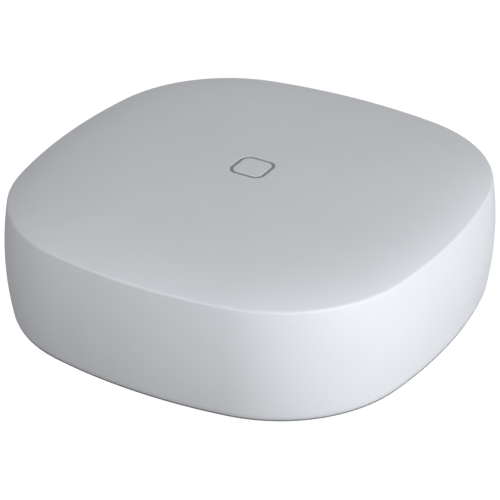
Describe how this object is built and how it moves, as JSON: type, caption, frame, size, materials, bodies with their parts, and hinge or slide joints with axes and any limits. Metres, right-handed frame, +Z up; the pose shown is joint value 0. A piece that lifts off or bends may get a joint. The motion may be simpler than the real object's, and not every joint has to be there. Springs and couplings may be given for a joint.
{
  "type": "smart home hub",
  "caption": "Low domed square hub with round corners on a grey base plate, with a flush light ring on top and a recessed rear bay of sockets with a reset button.",
  "frame": {"origin": "under the centre of the body, in the plane that the feet rest on", "axes": "+Z up, the front faces -Y, the socket bay in the rear faces +Y, +X is to the right seen from the front"},
  "size_m": [0.14, 0.1399, 0.0436],
  "materials": {
    "white_moulding": "smooth moulded ABS, white, low sheen",
    "grey_moulding": "fine-textured moulded ABS, mid grey",
    "rubber_feet": "soft non-slip rubber",
    "screw_steel": "zinc-plated steel",
    "label_film": "blank printed polyester label",
    "light_guide": "grey translucent acrylic, unlit",
    "light_shade_moulding": "white reflective moulding",
    "circuit_board": "glass-fibre board with green solder mask",
    "led_lens": "clear resin LED body",
    "ivory_plastic": "ivory nylon moulding",
    "flat_lead_film": "flat flexible lead in clear film",
    "black_plastic": "black glass-filled nylon",
    "contact_metal": "gold-flashed spring brass",
    "plated_steel": "tin-plated sheet steel",
    "button_plastic": "light grey moulded button",
    "chip_resin": "black moulded chip resin",
    "thermal_silicone": "soft blue-grey thermal silicone",
    "sink_aluminium": "extruded aluminium",
    "ferrite": "sintered ferrite",
    "capacitor_can": "drawn aluminium can",
    "chip_ceramic": "fired ceramic chip",
    "lead_jacket": "thin black coaxial jacket"
  },
  "bodies": {
    "housing": {"outer_shell": "white_moulding", "base_plate": "grey_moulding", "foot_pads": "rubber_feet", "base_screws": "screw_steel", "rating_label": "label_film", "port_panel": "grey_moulding", "light_ring": "light_guide", "light_shade": "light_shade_moulding", "light_board": "circuit_board", "status_leds": "led_lens", "light_board_screws": "screw_steel", "lead_sockets": "ivory_plastic", "light_board_lead": "flat_lead_film", "main_board": "circuit_board", "board_screws": "screw_steel", "power_inlet": "black_plastic", "power_pin": "contact_metal", "power_spring": "contact_metal", "ethernet_jack": "black_plastic", "ethernet_shield": "plated_steel", "ethernet_contacts": "contact_metal", "usb_shield": "plated_steel", "usb_tongue": "ivory_plastic", "usb_contacts": "contact_metal", "reset_switch": "black_plastic", "processor": "chip_resin", "thermal_pad": "thermal_silicone", "heat_sink": "sink_aluminium", "memory_chips": "chip_resin", "radio_chips": "chip_resin", "radio_shields": "plated_steel", "crystals": "plated_steel", "network_transformer": "chip_resin", "power_inductor": "ferrite", "power_capacitors": "capacitor_can", "chip_resistors": "chip_ceramic", "antenna_boards": "circuit_board", "antenna_plugs": "contact_metal", "antenna_leads": "lead_jacket"},
    "reset": {"reset_button": "button_plastic", "switch_plunger": "ivory_plastic"}
  },
  "joints": [
    {"name": "reset_press", "type": "slide", "parent": "housing", "child": "reset", "axis": [0, -1, 0], "range_m": [0, 0.0005], "stiffness_N_per_m": 900, "springref_m": -0.0005}
  ]
}
